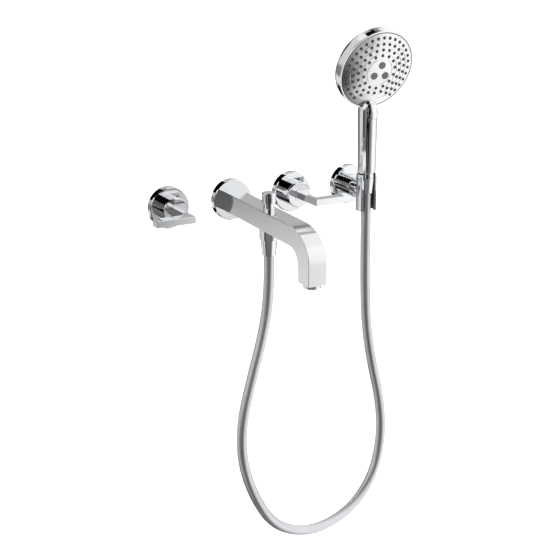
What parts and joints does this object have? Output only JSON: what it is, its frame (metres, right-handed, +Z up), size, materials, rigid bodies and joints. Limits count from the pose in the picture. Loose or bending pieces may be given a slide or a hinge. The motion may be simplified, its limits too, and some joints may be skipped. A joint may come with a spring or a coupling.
{
  "type": "wall mounted bath faucet",
  "caption": "Wall mounted bath faucet with separate lever valves, square down-turned spout with pull-up diverter, and a round hand shower on a hose and clip.",
  "frame": {"origin": "centre of the spout's threaded inlet in the wall plane", "axes": "+X to the right along the wall, +Y into the wall, +Z up; the faucet stands out towards -Y"},
  "size_m": [0.4148, 0.278, 0.7715],
  "materials": {
    "chrome": "polished chrome plate",
    "chromed_plastic": "plastic with polished chrome plate",
    "hose_metal": "smooth silver hose with a clear skin",
    "brass": "turned, satin",
    "ceramic": "ground, fine matte",
    "rubber": "matte",
    "nozzle_rubber": "matte grey silicone",
    "spray_face": "silver satin plastic",
    "white_plastic": "moulded",
    "grey_plastic": "moulded, satin",
    "dark_plastic": "moulded",
    "foam": "closed cell foam",
    "steel": "stainless"
  },
  "bodies": {
    "wall_fixture": {"aerator_housing": "chrome", "aerator_insert": "white_plastic", "aerator_seal": "rubber", "check_valve": "white_plastic", "cold_cartridge": "brass", "cold_escutcheon": "chrome", "cold_fixed_disc": "ceramic", "cold_valve_body": "brass", "diverter_neck": "chrome", "diverter_spring": "steel", "glide_rings": "white_plastic", "holder_clip": "chrome", "holder_clip_liner": "dark_plastic", "holder_escutcheon": "chrome", "holder_hub": "chrome", "holder_wall_plate": "steel", "holder_wall_screws": "steel", "hot_cartridge": "brass", "hot_escutcheon": "chrome", "hot_fixed_disc": "ceramic", "hot_valve_body": "brass", "lower_hose_ferrule": "brass", "lower_hose_nut": "chrome", "lower_hose_washer": "rubber", "shower_hose": "hose_metal", "shower_outlet": "chrome", "spout_body": "chrome", "spout_escutcheon": "chrome", "spout_inlet_nipple": "brass", "spout_inlet_oring": "rubber", "spout_screw": "steel", "wall_seals": "foam"},
    "hot_handle": {"hot_handle_hub": "chrome", "hot_lever": "chrome", "hot_handle_screw": "steel", "hot_spindle": "brass", "hot_turning_disc": "ceramic"},
    "cold_handle": {"cold_handle_hub": "chrome", "cold_lever": "chrome", "cold_handle_screw": "steel", "cold_spindle": "brass", "cold_turning_disc": "ceramic"},
    "diverter": {"diverter_knob": "chrome", "diverter_rod": "brass", "diverter_plunger_seal": "rubber"},
    "hose_end": {"upper_hose_nut": "chrome", "upper_hose_washer": "rubber", "upper_hose_ferrule": "brass"},
    "hand_shower": {"shower_shell": "chromed_plastic", "handle_thread_insert": "white_plastic", "handle_water_tube": "white_plastic", "spray_plate": "spray_face", "nozzle_mat": "nozzle_rubber", "whirl_nozzles": "grey_plastic", "face_trim_ring": "chrome", "spray_chamber": "white_plastic", "spray_selector_disc": "white_plastic", "button_spring": "steel"},
    "select_button": {"select_button": "chromed_plastic"}
  },
  "joints": [
    {"name": "hot_handle_turn", "type": "hinge", "parent": "wall_fixture", "child": "hot_handle", "pos_m": [-0.1, 0, 0], "axis": [0, -1, 0], "range_deg": [0, 90]},
    {"name": "cold_handle_turn", "type": "hinge", "parent": "wall_fixture", "child": "cold_handle", "pos_m": [0.1, 0, 0], "axis": [0, 1, 0], "range_deg": [0, 90]},
    {"name": "diverter_lift", "type": "slide", "parent": "wall_fixture", "child": "diverter", "axis": [0, 0, 1], "range_m": [0, 0.009], "stiffness_N_per_m": 120, "springref_m": -0.004},
    {"name": "shower_lift", "type": "slide", "parent": "wall_fixture", "child": "hose_end", "axis": [0, 0, 1], "range_m": [0, 0.075]},
    {"name": "shower_swivel", "type": "hinge", "parent": "hose_end", "child": "hand_shower", "pos_m": [0.2, -0.056, 0], "axis": [0, 0, 1], "range_deg": [-40, 40]},
    {"name": "select_button_push", "type": "slide", "parent": "hand_shower", "child": "select_button", "axis": [0, 1, 0], "range_m": [0, 0.0025], "stiffness_N_per_m": 600, "springref_m": -0.002}
  ]
}
